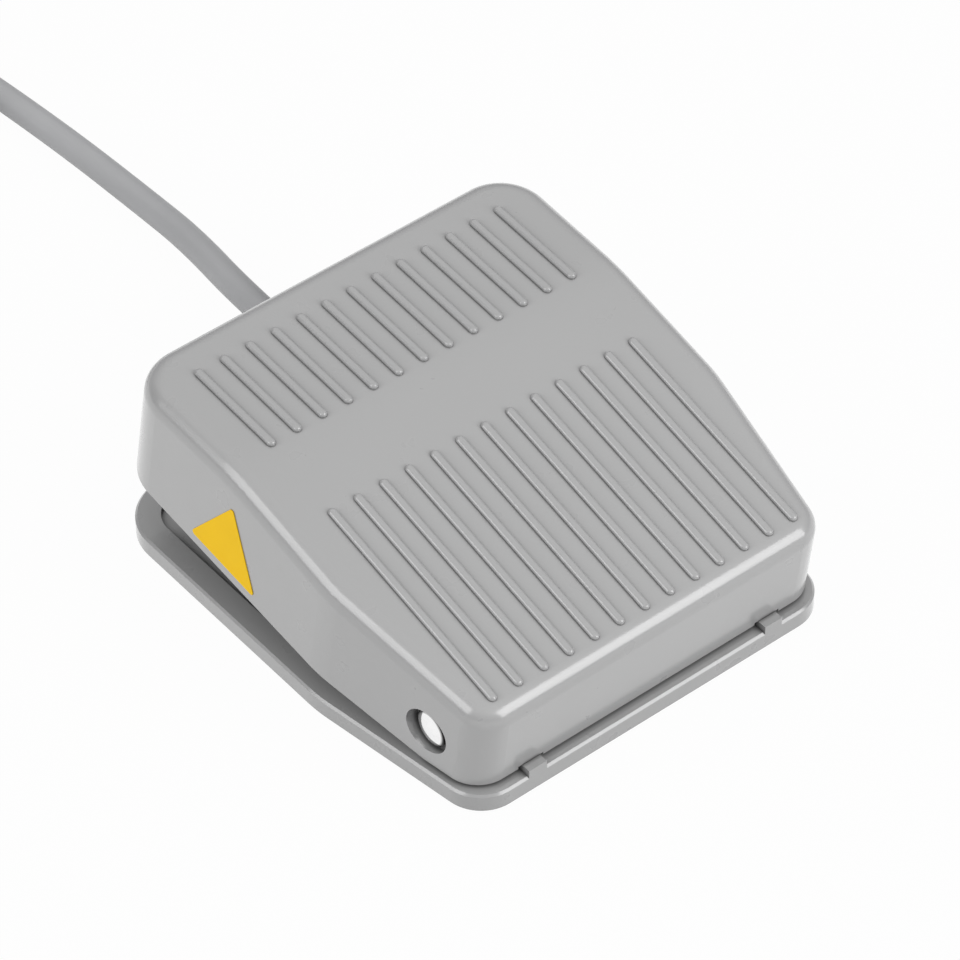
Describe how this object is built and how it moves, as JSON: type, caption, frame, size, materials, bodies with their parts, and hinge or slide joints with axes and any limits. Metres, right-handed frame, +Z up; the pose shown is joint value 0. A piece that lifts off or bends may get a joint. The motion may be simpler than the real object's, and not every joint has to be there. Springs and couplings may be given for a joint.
{
  "type": "industrial foot switch",
  "caption": "Low cast foot switch: a ribbed roof-shaped pedal cover hinged near its front on a flat base, over a snap switch, with a cord at the rear",
  "frame": {"origin": "On the surface the feet stand on, under the middle of the base plate", "axes": "+X across the pedal, +Y towards the high rear end where the cord leaves, +Z up"},
  "size_m": [0.1095, 0.261, 0.0392],
  "materials": {
    "cast_grey": "light grey hammered enamel on die-cast aluminium",
    "bright_steel": "bright turned steel",
    "spring_steel": "drawn spring wire",
    "black_rubber": "black moulded rubber",
    "grey_cord": "grey cord jacket, slightly satin",
    "switch_black": "black phenolic moulding",
    "switch_cover_grey": "dark grey phenolic moulding",
    "button_red": "red moulded plastic",
    "contact_brass": "rolled brass",
    "lead_black": "black insulation",
    "lead_blue": "blue insulation",
    "lead_brown": "brown insulation",
    "tie_white": "white moulded tie"
  },
  "bodies": {
    "base": {"base_plate": "cast_grey", "rubber_feet": "black_rubber", "pivot_pin": "bright_steel", "pin_clips": "spring_steel", "return_spring": "spring_steel", "switch_case": "switch_black", "switch_cover": "switch_cover_grey", "lever_pin": "bright_steel", "nc_terminal": "contact_brass", "no_terminal": "contact_brass", "common_terminal": "contact_brass", "switch_screws": "bright_steel", "switch_nuts": "bright_steel", "cord_clamp": "bright_steel", "clamp_screws": "bright_steel", "strain_relief": "grey_cord", "cord_inner": "grey_cord", "lead_common": "lead_black", "lead_no": "lead_blue", "lead_nc": "lead_brown", "cord": "grey_cord", "cord_coil": "grey_cord", "cord_tie": "tie_white", "cord_end": "grey_cord", "cord_leads": "lead_black"},
    "pedal": {"pedal_cover": "cast_grey"},
    "lever": {"switch_lever": "bright_steel"},
    "button": {"push_button": "button_red"},
    "blade": {"contact_blade": "contact_brass"}
  },
  "joints": [
    {"name": "pedal_hinge", "type": "hinge", "parent": "base", "child": "pedal", "pos_m": [0, -0.0345, 0.0121], "axis": [-1, 0, 0], "range_deg": [0, 8], "stiffness_Nm_per_rad": 6.9, "springref_deg": -2.29, "deforming": ["return_spring"]},
    {"name": "lever_hinge", "type": "hinge", "parent": "base", "child": "lever", "pos_m": [0, -0.0258, 0.022], "axis": [-1, 0, 0], "range_deg": [0, 11.25]},
    {"name": "button_slide", "type": "slide", "parent": "base", "child": "button", "axis": [0, 0, -1], "range_m": [0, 0.00111]},
    {"name": "blade_hinge", "type": "hinge", "parent": "base", "child": "blade", "pos_m": [0, -0.006, 0.0144], "axis": [1, 0, 0], "range_deg": [0, 4.55]}
  ],
  "couplings": [
    {"joint": "lever_hinge", "follows": "pedal_hinge", "ratio": 1.4},
    {"joint": "button_slide", "follows": "pedal_hinge", "m_per_rad": 0.007878},
    {"joint": "blade_hinge", "follows": "pedal_hinge", "ratio": 0.5627}
  ]
}
